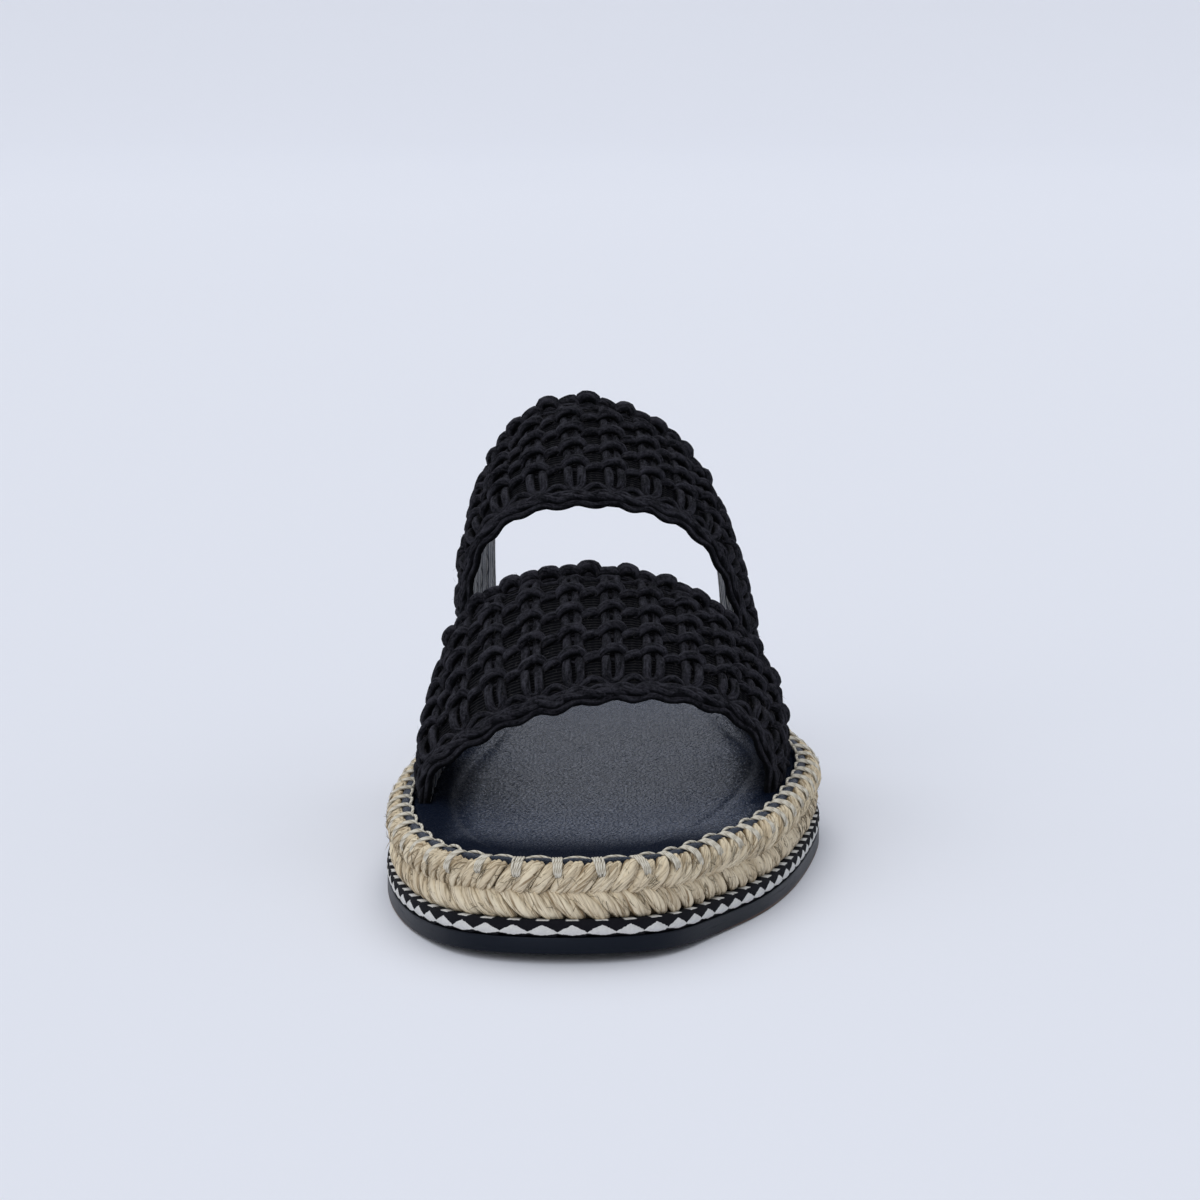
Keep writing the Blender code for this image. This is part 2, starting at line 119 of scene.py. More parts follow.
def on_outline(values, share):
    """Reads a table kept along the outline at shares of the way round."""
    at = np.asarray(share) % 1 * len(values)
    index = np.arange(len(values) + 1)
    wrapped = np.vstack([values, values[:1]])
    return np.stack([np.interp(at, index, wrapped[:, k]) for k in range(2)], axis=-1)


def round_sole(share, inset, height, spring=True):
    """Points at a share of the way round, an inset from the outline and a height."""
    plan = on_outline(outline_curve, share) + on_outline(outline_inward, share) * inset[..., None]
    if spring:
        height = height + toe_lift(plan[..., 1])
    return np.concatenate([plan, height[..., None]], axis=-1)


def toe_lift(y):
    """How far the toe spring raises the sole at a distance along it."""
    return TOE_SPRING * np.clip(1 - (y + LENGTH / 2) / SPRING_REACH, 0, None) ** 2


def sweep_round(section, steps, ring=True, shape=None):
    """Spins a section of (inset, height) points into a ring and lays it round the outline, flat."""
    made = bmesh.new()
    points = [made.verts.new((1 + inset, 0, height)) for inset, height in section]
    following = points[1:] + points[:1] if ring else points[1:]
    edges = [made.edges.new(pair) for pair in zip(points, following)]
    bmesh.ops.spin(
        made, geom=points + edges, cent=(0, 0, 0), axis=(0, 0, 1), angle=math.tau,
        steps=steps, use_merge=True,
    )
    place = np.array([vert.co for vert in made.verts], float)
    share = np.arctan2(place[:, 1], place[:, 0]) / math.tau % 1
    share[share > 1 - 1e-6] = 0
    inset, height = np.hypot(place[:, 0], place[:, 1]) - 1, place[:, 2]
    if shape:
        share, inset, height = shape(share, inset, height)
    move_to(made, round_sole(share, inset, height, spring=False))
    return made, share


def move_to(made, places):
    """Moves a mesh's points, in their order."""
    for vert, place in zip(made.verts, places):
        vert.co = place


def spring_toe(made):
    """Raises the toe of a piece that was made flat."""
    for vert in made.verts:
        vert.co.z += toe_lift(vert.co.y)


def cut_across(made, start):
    """Cuts a flat piece by lines across the toe, so that it can bend with the toe spring."""
    for y in np.arange(start, CUT_END, CUT_STEP):
        geom = made.verts[:] + made.edges[:] + made.faces[:]
        bmesh.ops.bisect_plane(made, geom=geom, plane_co=(0, y, 0), plane_no=(0, 1, 0))


class Wire:
    """One socket of a material. Python's operators on it add Math nodes."""

    def __init__(self, tree, socket=None):
        self.tree, self.socket = tree, socket

    def node(self, kind, sockets=(), out=0, stops=(), **settings):
        """Adds a node, sets it up, fills its sockets by name or number and returns one output."""
        made = self.tree.nodes.new("ShaderNode" + kind)
        for name, value in settings.items():
            setattr(made, name, value)
        for number, (at, colour) in enumerate(stops):
            ramp = made.color_ramp.elements
            stop = ramp[number] if number < len(ramp) else ramp.new(at)
            stop.position, stop.color = at, colour
        for key, value in dict(sockets).items():
            if isinstance(value, Wire):
                self.tree.links.new(value.socket, made.inputs[key])
            else:
                made.inputs[key].default_value = value
        return Wire(self.tree, made.outputs[out])

    def math(self, operation, *values):
        return self.node("Math", dict(enumerate(values)), operation=operation)

    def __add__(self, other):
        return self.math("ADD", self, other)

    def __sub__(self, other):
        return self.math("SUBTRACT", self, other)

    def __rsub__(self, other):
        return self.math("SUBTRACT", other, self)

    def __mul__(self, other):
        return self.math("MULTIPLY", self, other)

    def __truediv__(self, other):
        return self.math("DIVIDE", self, other)

    __radd__, __rmul__ = __add__, __mul__

    def split(self, where):
        """The X, Y and Z of a vector."""
        parts = self.node("SeparateXYZ", {0: where}).socket.node.outputs
        return [Wire(self.tree, part) for part in parts]

    def between(self, low, high):
        """0 below low and 1 above high, eased between them."""
        ends = {"Value": self, "From Min": low, "From Max": high}
        return self.node("MapRange", ends, interpolation_type="SMOOTHSTEP")

    def noise(self, where, scale, detail=3.0, roughness=0.55):
        sockets = {"Vector": where, "Scale": scale, "Detail": detail, "Roughness": roughness}
        return self.node("TexNoise", sockets)

    def stretched(self, where, scale):
        return self.node("Mapping", {"Vector": where, "Scale": scale})

    def tint(self, low, high):
        """A colour that runs from low to high as this value goes from 0 to 1."""
        sockets = {0: self, 6: (*low, 1) if not isinstance(low, Wire) else low}
        sockets[7] = (*high, 1) if not isinstance(high, Wire) else high
        return self.node("Mix", sockets, out=2, data_type="RGBA")


class Finish(Wire):
    """A material. Constants go on the shader's own sockets, and what varies is linked to it."""

    def __init__(self, name, **constants):
        self.material = bpy.data.materials.new(name)
        self.material.use_nodes = True
        super().__init__(self.material.node_tree)
        self.shader = self.tree.nodes["Principled BSDF"]
        for key, value in constants.items():
            self.shader.inputs[key.replace("_", " ")].default_value = value
        self.place = self.node("TexCoord", out="Object")

    def attribute(self, name):
        return self.node("Attribute", out="Fac", attribute_name=name)

    def along_cord(self):
        """Round the cord, 0 to 1, and along it in metres."""
        return self.split(self.node("UVMap", uv_map="cord"))[:2]

    def wear(self, colour=None, roughness=None, relief=None, depth=0.0005):
        """Links what varies over the surface. depth is the relief's height in metres."""
        if colour is not None:
            self.tree.links.new(colour.socket, self.shader.inputs["Base Color"])
        if roughness is not None:
            self.tree.links.new(roughness.socket, self.shader.inputs["Roughness"])
        if relief is not None:
            bump = self.node("Bump", {"Height": relief, "Strength": 1.0, "Distance": depth})
            self.tree.links.new(bump.socket, self.shader.inputs["Normal"])
        return self.material


def put_on(name, made, material, slot, *nodes):
    """Makes a finished mesh a piece of the sandal, in place of the CAD nodes named."""
    bmesh.ops.recalc_face_normals(made, faces=made.faces)
    if made.calc_volume(signed=True) < 0:
        bmesh.ops.reverse_faces(made, faces=made.faces)
    data = bpy.data.meshes.new(name)
    made.to_mesh(data)
    made.free()
    data.shade_smooth()
    data.materials.append(material)
    piece = bpy.data.objects.new(name, data)
    bpy.context.scene.collection.objects.link(piece)
    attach(piece, "root")
    if nodes:
        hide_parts(*nodes)
    return piece


def fill_ends(made):
    """Closes the open loops of a swept piece with flat faces."""
    bmesh.ops.holes_fill(made, edges=[edge for edge in made.edges if edge.is_boundary], sides=0)


def rubber_finish():
    """Smooth rubber, cloudy and a little scuffed, brown at the foot of its edge, ribbed below."""
    rubber = Finish("black_rubber", Specular_IOR_Level=0.22, Specular_Tint=(0.70, 0.82, 1.0, 1))
    grain = rubber.noise(rubber.place, 2600.0, 2.0)
    cloud = rubber.noise(rubber.place, 60.0, 4.0)
    scuff = rubber.noise(rubber.stretched(rubber.place, (90.0, 90.0, 1400.0)), 1.0, 3.0)
    scuff = scuff.between(0.56, 0.78)
    _, along, height = rubber.split(rubber.place)
    ribs = rubber.math("SINE", along * (math.tau / 0.0042)).between(-0.2, 0.7)
    under = 1 - height.between(0.0001, 0.0003)
    colour = cloud.tint((0.0022, 0.0030, 0.0064), (0.0042, 0.0052, 0.0098))
    edge = 1 - height.between(0.0004, 0.0008)
    browned = (edge * 0.8).tint(colour, (0.13, 0.07, 0.035))
    roughness = 0.34 + cloud * 0.16 + scuff * 0.12
    relief = grain * 0.03 + scuff * 0.02 + ribs * under
    return rubber.wear(browned, roughness, relief, 0.0006)


def corner(inset, height, radius, start, steps=4):
    """A rounded corner of a section: a quarter turn about a centre, from an angle in quarters."""
    turns = (start + np.arange(steps + 1) / steps) * math.pi / 2
    return [(inset - radius * math.cos(a), height + radius * math.sin(a)) for a in turns]


outsole_edge = [
    (OUTSOLE_RIM, 0.0),
    *corner(OUTSOLE_ROUND, OUTSOLE_ROUND, OUTSOLE_ROUND, -1),
    *corner(OUTSOLE_ROUND, OUTSOLE_THICKNESS - OUTSOLE_ROUND, OUTSOLE_ROUND, 0),
    (OUTSOLE_RIM, OUTSOLE_THICKNESS),
]
made, share = sweep_round(outsole_edge, 420, ring=False)
fill_ends(made)
cut_across(made, -0.127)
spring_toe(made)
put_on("rubber_outsole", made, rubber_finish(), "outsole_rubber", "outsole")

# Welt trim -------------------------------------------------------------------------------------
# A narrow braid of black and white ribbon folded over each other into teeth, as a ric-rac. It is
# stitched round the rim on top of the outsole, its white teeth pointing up between black ones.

TRIM_BOTTOM, TRIM_HEIGHT, TRIM_WIDTH, TRIM_BELLY = 0.0039, 0.0033, 0.0029, 0.0004
TEETH, STEPS_A_TOOTH, TRIM_ROWS = 97, 14, 12

trim_face = [
    (TRIM_BELLY * (1 - math.sin(math.pi * row / TRIM_ROWS)), TRIM_BOTTOM + TRIM_HEIGHT * row / TRIM_ROWS)
    for row in range(TRIM_ROWS + 1)
]
trim_section = [(TRIM_WIDTH, TRIM_BOTTOM), *trim_face, (TRIM_WIDTH, TRIM_BOTTOM + TRIM_HEIGHT)]


def tooth_line(turn):
    """Height of the border between white and black, as a share of the braid's height."""
    return 0.22 + 0.47 * (1 - np.abs(2 * (turn % 1) - 1)) ** 0.85


def fold_braid(share, inset, height):
    """Puffs each fold of the ribbon up to its border, and frets the braid's two edges."""
    turn, rise = share * TEETH, (height - TRIM_BOTTOM) / TRIM_HEIGHT
    tooth = np.floor(turn)
    off_border = np.abs(rise - tooth_line(turn))
    pillow = np.clip(off_border / 0.30, 0, 1)
    face = np.clip(1 - inset / 0.0012, 0, 1)
    white = rise < tooth_line(turn)
    puff = np.sin(pillow * math.pi / 2) * np.where(white, 0.00042, 0.00030) - 0.00022
    ragged = (0.5 - turn % 1) * 0.00055 + 0.00012 * np.sin(tooth * 2.4)
    lower = np.clip(1 - rise / 0.35, 0, 1)
    upper = np.clip((rise - 0.7) / 0.3, 0, 1)
    lean = 0.00025 * np.sin(tooth * 1.7) * face
    height = height + ragged * lower * face + 0.00022 * np.cos(math.tau * turn) * upper * face
    return share + lean / perimeter, inset - puff * face, height


def braid_finish():
    """Woven ribbon, white below the border of the teeth and black above it."""
    braid = Finish("black_and_white_braid", Roughness=0.9, Specular_IOR_Level=0.12)
    where = braid.node("UVMap", uv_map="teeth")
    turn, rise, _ = braid.split(where)
    tooth = 1 - braid.math("ABSOLUTE", braid.math("FRACT", turn) * 2 - 1)
    rough_edge = (braid.noise(where, 7.0, 4.0) - 0.5) * 0.16
    line = braid.math("POWER", tooth, 0.85) * 0.47 + 0.22
    foot = (1 - tooth) * 0.14 + 0.02
    below = (line - rise + rough_edge).between(-0.015, 0.015)
    white = below * (rise - foot + rough_edge).between(-0.02, 0.02)
    sliver = (rise + rough_edge * 0.4).between(0.945, 0.96) * tooth.between(0.50, 0.65)
    weave = braid.math("SINE", (turn * 6.4 + rise * 3.3) * 26.0)
    cross = braid.math("SINE", (turn * 6.4 - rise * 3.3) * 26.0)
    grain = braid.noise(braid.place, 1500.0, 4.0)
    pale = grain.tint((0.66, 0.66, 0.66), (0.90, 0.90, 0.89))
    dark = grain.tint((0.005, 0.005, 0.008), (0.014, 0.014, 0.018))
    mask = braid.math("MAXIMUM", white, sliver)
    relief = weave * cross * 0.25 + grain * 0.7
    return braid.wear(mask.tint(dark, pale), None, relief, 0.00012)


made, share = sweep_round(trim_section, TEETH * STEPS_A_TOOTH, shape=fold_braid)
teeth = made.loops.layers.uv.new("teeth")
for face in made.faces:
    turns = [share[loop.vert.index] * TEETH for loop in face.loops]
    seam = max(turns) - min(turns) > TEETH / 2
    for loop, turn in zip(face.loops, turns):
        rise = (loop.vert.co.z - TRIM_BOTTOM) / TRIM_HEIGHT
        loop[teeth].uv = (turn + TEETH if seam and turn < TEETH / 2 else turn, rise)
spring_toe(made)
put_on("ribbon_welt_trim", made, braid_finish(), "trim_braid", "welt_trim")

# Jute midsole ----------------------------------------------------------------------------------
# Two rows of jute braid wound round a jute platform. Each strand is a few soft yarns laid side by
# side. The rows lean opposite ways and meet in a groove, like ears of wheat, and shed fibres.

GROOVE, DECK = 0.0129, 0.0135
UPPER_STRANDS, LOWER_STRANDS, UPPER_YARN, LOWER_YARN = 140, 118, 0.00092, 0.00110
YARN_RINGS, YARN_SIDES = 13, 8
jute_random = np.random.default_rng(11)


def lay_cords(paths, up, radius, sides, flat=1.0, tone=None):
    """Tubes along rows of points, from one grid that is cut between them and closed at the ends.
    up is the way their broad side faces, and flat is their height as a share of their width."""
    count, rings = paths.shape[:2]
    total = count * rings
    made = bmesh.new()
    bmesh.ops.create_grid(made, x_segments=total - 1, y_segments=sides, size=1)
    spread = np.array([vert.co[:2] for vert in made.verts])
    at = np.rint((spread[:, 0] + 1) / 2 * (total - 1)).astype(int)
    turn = np.rint((spread[:, 1] + 1) / 2 * sides).astype(int)
    between = [
        face for face in made.faces
        if int((face.calc_center_median().x + 1) / 2 * (total - 1) + 1) % rings == 0
    ]
    bmesh.ops.delete(made, geom=between, context="FACES")
    data = bpy.data.meshes.new("cords")
    made.to_mesh(data)
    made.free()

    radius = np.broadcast_to(radius, (count, rings)).copy()
    radius[:, (0, -1)] = 0
    radius[:, (1, -2)] *= 0.8
    uneven = np.sin(np.arange(rings) * 0.83 + np.arange(count)[:, None] * 2.1)
    radius *= 1 + 0.03 * uneven + 0.025 * np.sin(np.arange(rings) * 0.37 + np.arange(count)[:, None])
    run = np.gradient(paths, axis=1)
    run /= np.linalg.norm(run, axis=-1)[..., None] + 1e-12
    side = np.cross(run, np.broadcast_to(up, paths.shape))
    side /= np.linalg.norm(side, axis=-1)[..., None] + 1e-12
    rise = np.cross(side, run)
    length = np.linalg.norm(np.diff(paths, axis=1, prepend=paths[:, :1]), axis=-1).cumsum(axis=1)
    flow = [array.reshape(total, -1)[at] for array in (paths, side, rise, radius)]
    angle = turn[:, None] / sides * math.tau
    places = flow[0] + flow[3] * (np.cos(angle) * flow[1] + flat * np.sin(angle) * flow[2])
    data.vertices.foreach_set("co", places.astype("f4").ravel())
    corners = np.empty(len(data.loops), dtype="i4")
    data.loops.foreach_get("vertex_index", corners)
    wrap = np.stack([turn / sides, length.reshape(total)[at]], axis=1)[corners]
    data.uv_layers.new(name="cord").data.foreach_set("uv", wrap.astype("f4").ravel())
    tones = np.broadcast_to(0.5 if tone is None else np.reshape(tone, (count, -1)), (count, rings))
    kept = data.attributes.new("tone", "FLOAT", "POINT")
    kept.data.foreach_set("value", tones.reshape(total)[at].astype("f4"))

    made = bmesh.new()
    made.from_mesh(data)
    bmesh.ops.remove_doubles(made, verts=made.verts, dist=1e-6)
    bpy.data.meshes.remove(data)
    return made


def join(made, *others):
    """Adds other meshes to the first."""
    for other in others:
        data = bpy.data.meshes.new("joined")
        other.to_mesh(data)
        other.free()
        made.from_mesh(data)
        bpy.data.meshes.remove(data)
    return made


def outward(share):
    """Level outward directions round the sole."""
    plan = -on_outline(outline_inward, share)
    return np.concatenate([plan, np.zeros(plan.shape[:-1] + (1,))], axis=-1)


# One strand of each row: distance round the sole, inset and height, in millimetres
UPPER_STRAND = (
    (-0.7, 3.3, 12.3), (-0.2, 2.3, 12.8), (0.6, 1.50, 13.8), (1.5, 1.08, 15.1), (2.4, 1.18, 16.3),
    (3.2, 1.75, 17.6), (3.8, 2.50, 18.35), (4.2, 3.2, 17.6), (4.3, 3.4, 15.8),
)
LOWER_STRAND = (
    (-2.3, 3.7, 13.4), (-1.4, 2.8, 13.0), (-0.2, 2.20, 12.2), (1.2, 1.80, 11.0), (2.6, 1.75, 9.7),
    (3.9, 2.05, 8.5), (4.8, 2.8, 7.6), (5.2, 3.9, 7.2),
)


def braid_row(strand, strands, thick):
    """The yarns of one row, three to a strand, each a little different."""
    path = spline(np.array(strand) / 1000, YARN_RINGS)
    yarns, ups, widths, tones = [], [], [], []
    swell = 0.50 + 0.50 * np.sin(np.linspace(0.06, 0.94, YARN_RINGS) * math.pi) ** 0.8
    bend = np.linspace(0, math.pi * 1.3, YARN_RINGS)
    for number in range(strands):
        start = number / strands * perimeter + jute_random.normal(0, 0.00022)
        shade = jute_random.uniform(0.25, 0.75)
        rise = jute_random.normal(0, 0.00012)
        for part, offset in enumerate(np.array((-1.05, 0.0, 1.0)) * thick):
            twist = np.sin(bend + part * math.pi + jute_random.uniform(-0.4, 0.4))
            beside = offset * (1 + 0.20 * twist) + jute_random.normal(0, 0.00009)
            share = (start + path[:, 0] + beside) / perimeter
            wander = jute_random.normal(0, 0.00006, 2)
            inset = path[:, 1] + 0.00016 * twist + wander[0] + (0.0, -0.00018, 0.00030)[part]
            height = path[:, 2] + rise + wander[1]
            yarns.append(round_sole(share, inset, height))
            ups.append(outward(share) + (0, 0, 0.3))
            widths.append(swell * thick * jute_random.normal(1.02, 0.09))
            tones.append(shade + jute_random.normal(0, 0.12))
    return np.array(yarns), np.array(ups), np.array(widths), np.array(tones)


def jute_finish():
    """Straw-coloured yarn streaked along its fibres, with painted shade in brown on its inner sides."""
    jute = Finish("jute_yarn", Roughness=0.92, Specular_IOR_Level=0.15)
    turn, along = jute.along_cord()
    yarn = jute.attribute("tone")
    twisted = jute.node("CombineXYZ", {0: turn + along * 60.0, 1: along * 120.0, 2: yarn * 9.0})
    streak = jute.noise(jute.stretched(twisted, (9.0, 0.55, 1.0)), 1.0, 5.0, 0.65)
    ply = jute.math("SINE", (turn + along * 210.0) * (math.tau * 3))
    blotch = jute.noise(jute.place, 130.0, 3.0)
    warm = yarn * 0.7 + blotch * 0.5 - 0.1
    base = warm.tint((0.66, 0.54, 0.37), (0.99, 0.89, 0.69))
    deep = streak.between(0.32, 0.56).tint((0.30, 0.215, 0.125), base)
    pale = streak.between(0.66, 0.80).tint(deep, (0.97, 0.92, 0.80))
    # Painted shade: each yarn is tinted dark brown on the sides turned away from the outside, and keeps
    # its pale tone where it faces out.
    lit_side = jute.math("SINE", turn * math.tau).between(-0.25, 0.55)
    shaded = lit_side.tint((0.20, 0.145, 0.08), pale)
    return jute.wear(shaded, None, streak + ply * 0.10, 0.00055)


# The platform's edge behind the braid, and the deck that the insole lies on: inset and height
core_section = (
    (0.0042, 0.0039), (0.0040, 0.0072), (0.0031, 0.0082), (0.0028, 0.0102), (0.0032, 0.0124),
    (0.0034, GROOVE), (0.0026, 0.0142), (0.0022, 0.0156), (0.0025, 0.0168), (0.0030, 0.0170),
    (0.0050, DECK),
)
made, share = sweep_round(core_section, 420, ring=False)
fill_ends(made)
cut_across(made, -0.124)
spring_toe(made)
core = Finish("jute_core", Roughness=0.95)
fleck = core.noise(core.place, 900.0, 4.0)
core_material = core.wear(fleck.tint((0.10, 0.072, 0.042), (0.30, 0.225, 0.14)), None, fleck, 0.0005)
put_on("jute_platform_core", made, core_material, "jute", "jute_midsole")

jute_material = jute_finish()
*row, tones = braid_row(UPPER_STRAND, UPPER_STRANDS, UPPER_YARN)
put_on("jute_braid_upper_row", lay_cords(*row, YARN_SIDES, tone=tones), jute_material, "jute")
*row, tones = braid_row(LOWER_STRAND, LOWER_STRANDS, LOWER_YARN)
put_on("jute_braid_lower_row", lay_cords(*row, YARN_SIDES, tone=tones), jute_material, "jute")


def stray_fibres(count, rings=5):
    """Loose fibres that lie on the braid and lift off it."""
    share = jute_random.uniform(0, 1, count)
    upper_row = jute_random.uniform(0, 1, count) < 0.55
    upper = jute_random.uniform(0.0138, 0.0179, count)
    height = np.where(upper_row, upper, jute_random.uniform(0.0083, 0.0125, count))
    lean = np.where(upper_row, 0.9, -0.9) + jute_random.normal(0, 0.6, count)
    length = jute_random.gamma(3.0, 0.0011, count)
    t = np.linspace(-0.5, 0.5, rings)
    bow = jute_random.normal(0, 0.5, (count, 1)) * length[:, None] * (t**2 - 0.25)
    run = t * length[:, None]
    shares = share[:, None] + (run * np.cos(lean)[:, None] - bow * np.sin(lean)[:, None]) / perimeter
    heights = height[:, None] + run * np.sin(lean)[:, None] + bow * np.cos(lean)[:, None]
    heights = np.clip(heights, 0.0078, 0.0186)
    middle = np.where(heights > GROOVE, 0.0155, 0.0102)
    skin = np.where(heights > GROOVE, 0.00015, 0.0008) + 130 * (heights - middle) ** 2
    stray = jute_random.gamma(1.3, 0.00016, (count, 1)) * (t + 0.5) * 1.6
    return round_sole(shares, skin - stray, heights)


fibres = stray_fibres(2100)
fibre_up = np.tile((0.3, 0.2, 1.0), (*fibres.shape[:2], 1))
thin = jute_random.uniform(0.00005, 0.00009, (len(fibres), 1)) * np.array([0.6, 1, 1, 0.8, 0.4])
made = lay_cords(fibres, fibre_up, thin, 3, tone=jute_random.uniform(0.4, 1.0, len(fibres)))
put_on("jute_stray_fibres", made, jute_material, "jute")

# Insole ----------------------------------------------------------------------------------------
# Black fine-grained leather moulded over a soft footbed with a raised rim. It is glued to the
# deck, and along the straps its edge is pressed down where their ends are tucked in.

INSOLE_RIM, INSOLE_BOTTOM, INSOLE_INSET, RIM_ROUND = 0.0192, 0.0138, 0.0059, 0.0008
STRAP_SEAT, PRESS_DEPTH, PRESS_EASE = 0.0100, 0.0008, 0.0006
PRESSED = ((-0.0615, -0.0005), (0.0045, 0.0630))

# From the rim to the flat of the footbed, with a crease where the dish begins: inset and height
DISH = (
    (RIM_ROUND, 0.0), (0.0055, -0.00018), (0.0084, -0.00072), (0.0097, -0.00135),
    (0.0110, -0.00132), (0.0150, -0.00162), (0.0210, -0.0019),
)
rim_rows = [(INSOLE_INSET, INSOLE_BOTTOM), (INSOLE_INSET, INSOLE_RIM - RIM_ROUND)]
rim_rows += [
    (INSOLE_INSET + RIM_ROUND * (1 - math.cos(a)), INSOLE_RIM - RIM_ROUND * (1 - math.sin(a)))
    for a in (0.4, 0.8, 1.2, math.pi / 2)
]
rim_rows += [(INSOLE_INSET + inset, INSOLE_RIM + min(drop, 0)) for inset, drop in spline(DISH, 36)[1:]]


def leather_finish(name, grain_size, gloss, tint_low, tint_high, depth, dull=False):
    """Black leather with pebbles of a grain size in metres. A dull one is matt towards its rim."""
    leather = Finish(
        name, Specular_IOR_Level=0.44, Specular_Tint=(0.60, 0.74, 1.0, 1),
        Sheen_Weight=0.10, Sheen_Roughness=0.35, Sheen_Tint=(0.22, 0.42, 1.0, 1),
    )
    cells = leather.node(
        "TexVoronoi", {"Vector": leather.place, "Scale": 1 / grain_size, "Randomness": 1.0},
        feature="DISTANCE_TO_EDGE",
    )
    pebble = cells.between(0.0, 0.22)
    pores = leather.noise(leather.place, 2.2 / grain_size, 2.0)
    cloud = leather.noise(leather.place, 45.0, 4.0)
    crease = leather.noise(leather.stretched(leather.place, (150.0, 55.0, 150.0)), 1.0, 5.0, 0.6)
    colour = cloud.tint(tint_low, tint_high)
    roughness = gloss + cloud * 0.08 + (1 - pebble) * 0.12
    relief = pebble * 1.3 + pores * 0.45 + crease * 0.8
    leather.wear(colour, roughness, relief, depth)
    if dull:
        across, along, _ = leather.split(leather.place)
        side, toe = leather.math("ABSOLUTE", across) * (1 / 0.040), along * (-1 / 0.113)
        margin = leather.math("MAXIMUM", side, toe).between(0.68, 0.92) * 0.82 + 0.10
        glossy = Wire(leather.tree, leather.shader.outputs[0])
        matt = leather.node("BsdfDiffuse", {"Color": (0.0036, 0.0058, 0.0130, 1)})
        mixed = leather.node("MixShader", {0: margin, 1: glossy, 2: matt})
        surface = leather.tree.nodes["Material Output"].inputs["Surface"]
        leather.tree.links.new(mixed.socket, surface)
    return leather.material


def press_slots(share, inset, height):
    """Lowers the insole's edge where the strap ends pass."""
    y = round_sole(share, inset, height, spring=False)[:, 1]
    for front, back in PRESSED:
        inside = np.clip((y - front) / PRESS_EASE, 0, 1) * np.clip((back - y) / PRESS_EASE, 0, 1)
        edge = np.clip((STRAP_SEAT - 0.0001 - inset) / 0.0004, 0, 1)
        height = height - PRESS_DEPTH * inside * edge * (height > INSOLE_BOTTOM + 0.0005)
    return share, inset, height


made, share = sweep_round(rim_rows, 400, ring=False, shape=press_slots)
fill_ends(made)
cut_across(made, -0.096)
spring_toe(made)
insole_leather = leather_finish(
    "insole_leather", 0.00105, 0.18, (0.0040, 0.0066, 0.0160), (0.0070, 0.0112, 0.0260), 0.00060,
    dull=True,
)
put_on("leather_insole", made, insole_leather, "insole_leather", "insole")

# Binding and its thread ------------------------------------------------------------------------
# A narrow strip of black leather folded over the insole's edge, puffed between the stitches. A
# cream cotton thread ties it to the braid with a blanket stitch, linked along the inner side.

BINDING_OUTER, BINDING_INNER, BINDING_TOP, BINDING_FOLD = 0.0032, 0.0056, 0.0195, 0.0011
STITCHES, STEPS_A_STITCH = 66, 13
LEG_THREAD, ARC_THREAD = 0.00030, 0.00033

binding_middle, binding_half = (BINDING_OUTER + BINDING_INNER) / 2, (BINDING_INNER - BINDING_OUTER) / 2
binding_arc = [
    (binding_middle - binding_half * math.cos(a), BINDING_TOP - BINDING_FOLD * (1 - math.sin(a)))
    for a in np.linspace(0, math.pi, 9)
]
binding_section = [(BINDING_OUTER, INSOLE_BOTTOM), *binding_arc, (BINDING_INNER, INSOLE_BOTTOM)]


def puff_binding(share, inset, height):
    """Draws the strip in and down at each stitch, and lets it swell between them."""
    pull = (0.5 + 0.5 * np.cos(math.tau * share * STITCHES)) ** 3
    top = np.clip((height - 0.0180) / 0.0022, 0, 1)
    widen = (inset - binding_middle) * (0.12 - 0.45 * pull) * top
    wave = 0.00012 * np.sin(share * 311.0) * top
    return share, inset + widen, height + top * (0.00010 - 0.00050 * pull) + wave


made, share = sweep_round(binding_section, STITCHES * STEPS_A_STITCH, shape=puff_binding)
spring_toe(made)
binding_leather = leather_finish(
    "binding_leather", 0.0005, 0.34, (0.0022, 0.0030, 0.0060), (0.0040, 0.0050, 0.0090), 0.00012,
)
put_on("leather_insole_binding", made, binding_leather, "binding_leather", "insole_binding")

thread_random = np.random.default_rng(5)
stitch_at = np.arange(STITCHES) / STITCHES * perimeter + thread_random.normal(0, 0.00025, STITCHES)

